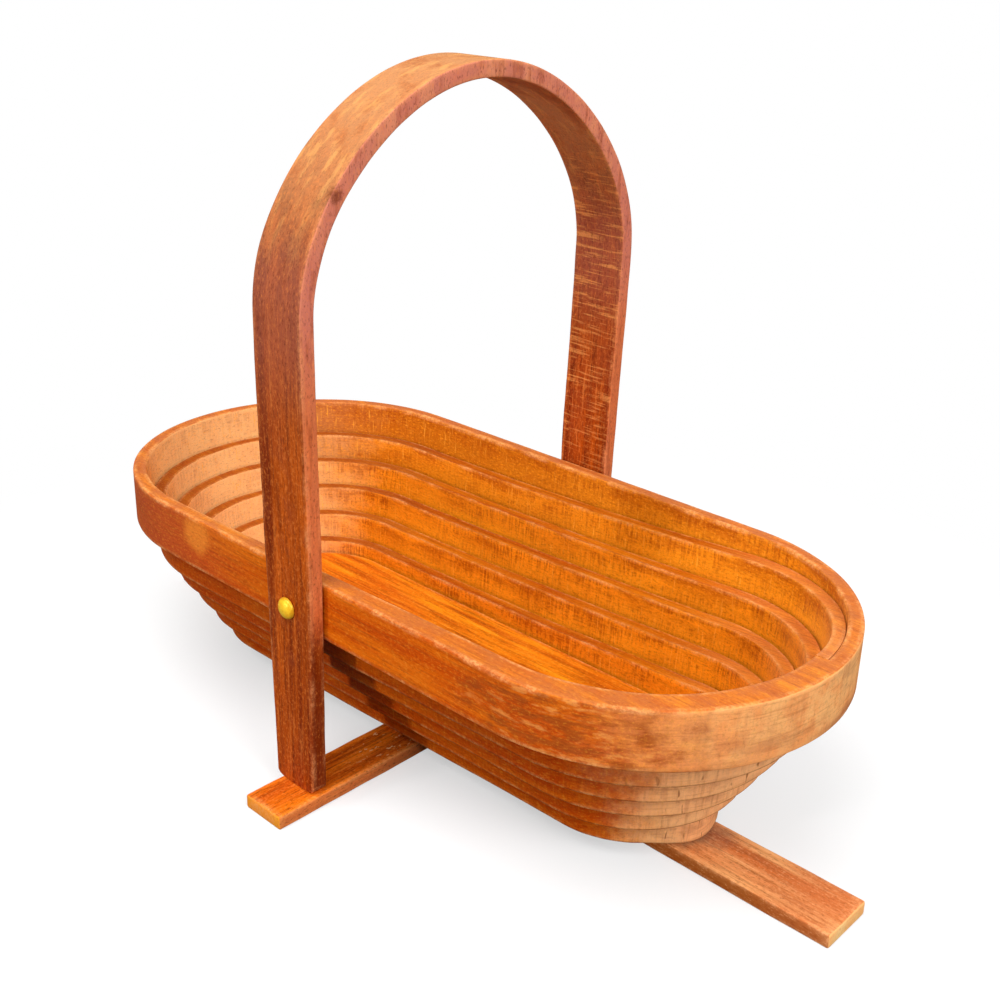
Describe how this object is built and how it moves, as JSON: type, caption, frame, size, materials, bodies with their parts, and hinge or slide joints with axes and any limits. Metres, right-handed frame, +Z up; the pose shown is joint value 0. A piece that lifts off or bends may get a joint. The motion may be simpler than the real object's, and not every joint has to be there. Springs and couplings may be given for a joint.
{
  "type": "collapsible trivet basket",
  "caption": "Oval wooden basket that drops open from a spiral-sawn board, with a hoop handle swinging on brass pins and a lapped cross of flat bars as its stand.",
  "frame": {"origin": "on the floor under the middle of the cross that the basket stands on", "axes": "+X along the board and the long bar, +Y along the crossbar and the pin axis, +Z up"},
  "size_m": [0.3788, 0.206, 0.2732],
  "materials": {
    "board_wood": "oiled hardwood, sawn faces with fine saw marks",
    "handle_wood": "oiled hardwood, worn edges",
    "stand_wood": "oiled hardwood, light scratches",
    "pin_brass": "polished, slightly dulled"
  },
  "bodies": {
    "stand": {"crossbar": "stand_wood", "long_bar": "stand_wood"},
    "rim": {"rim": "board_wood", "near_pivot_pin": "pin_brass", "far_pivot_pin": "pin_brass"},
    "turn_1": {"spiral_turn_1": "board_wood"},
    "turn_2": {"spiral_turn_2": "board_wood"},
    "turn_3": {"spiral_turn_3": "board_wood"},
    "turn_4": {"spiral_turn_4": "board_wood"},
    "turn_5": {"spiral_turn_5": "board_wood"},
    "plate": {"bottom_plate": "board_wood"},
    "handle": {"handle": "handle_wood"}
  },
  "joints": [
    {"name": "basket_lift", "type": "slide", "parent": "stand", "child": "rim", "axis": [0, 0, 1], "range_m": [0, 0.06]},
    {"name": "spiral_collapse", "type": "slide", "parent": "rim", "child": "turn_1", "axis": [0, 0, 1], "range_m": [0, 0.015]},
    {"name": "turn_2_rise", "type": "slide", "parent": "turn_1", "child": "turn_2", "axis": [0, 0, 1], "range_m": [0, 0.0112]},
    {"name": "turn_3_rise", "type": "slide", "parent": "turn_2", "child": "turn_3", "axis": [0, 0, 1], "range_m": [0, 0.0112]},
    {"name": "turn_4_rise", "type": "slide", "parent": "turn_3", "child": "turn_4", "axis": [0, 0, 1], "range_m": [0, 0.0112]},
    {"name": "turn_5_rise", "type": "slide", "parent": "turn_4", "child": "turn_5", "axis": [0, 0, 1], "range_m": [0, 0.0112]},
    {"name": "plate_rise", "type": "slide", "parent": "turn_5", "child": "plate", "axis": [0, 0, 1], "range_m": [0, 0.0056]},
    {"name": "handle_swing", "type": "hinge", "parent": "rim", "child": "handle", "pos_m": [-0.0024, 0, 0.08285], "axis": [0, 1, 0], "range_deg": [-90.9, 89.1]}
  ],
  "couplings": [
    {"joint": "turn_2_rise", "follows": "spiral_collapse", "ratio": 0.74667},
    {"joint": "turn_3_rise", "follows": "spiral_collapse", "ratio": 0.74667},
    {"joint": "turn_4_rise", "follows": "spiral_collapse", "ratio": 0.74667},
    {"joint": "turn_5_rise", "follows": "spiral_collapse", "ratio": 0.74667},
    {"joint": "plate_rise", "follows": "spiral_collapse", "ratio": 0.37333}
  ]
}
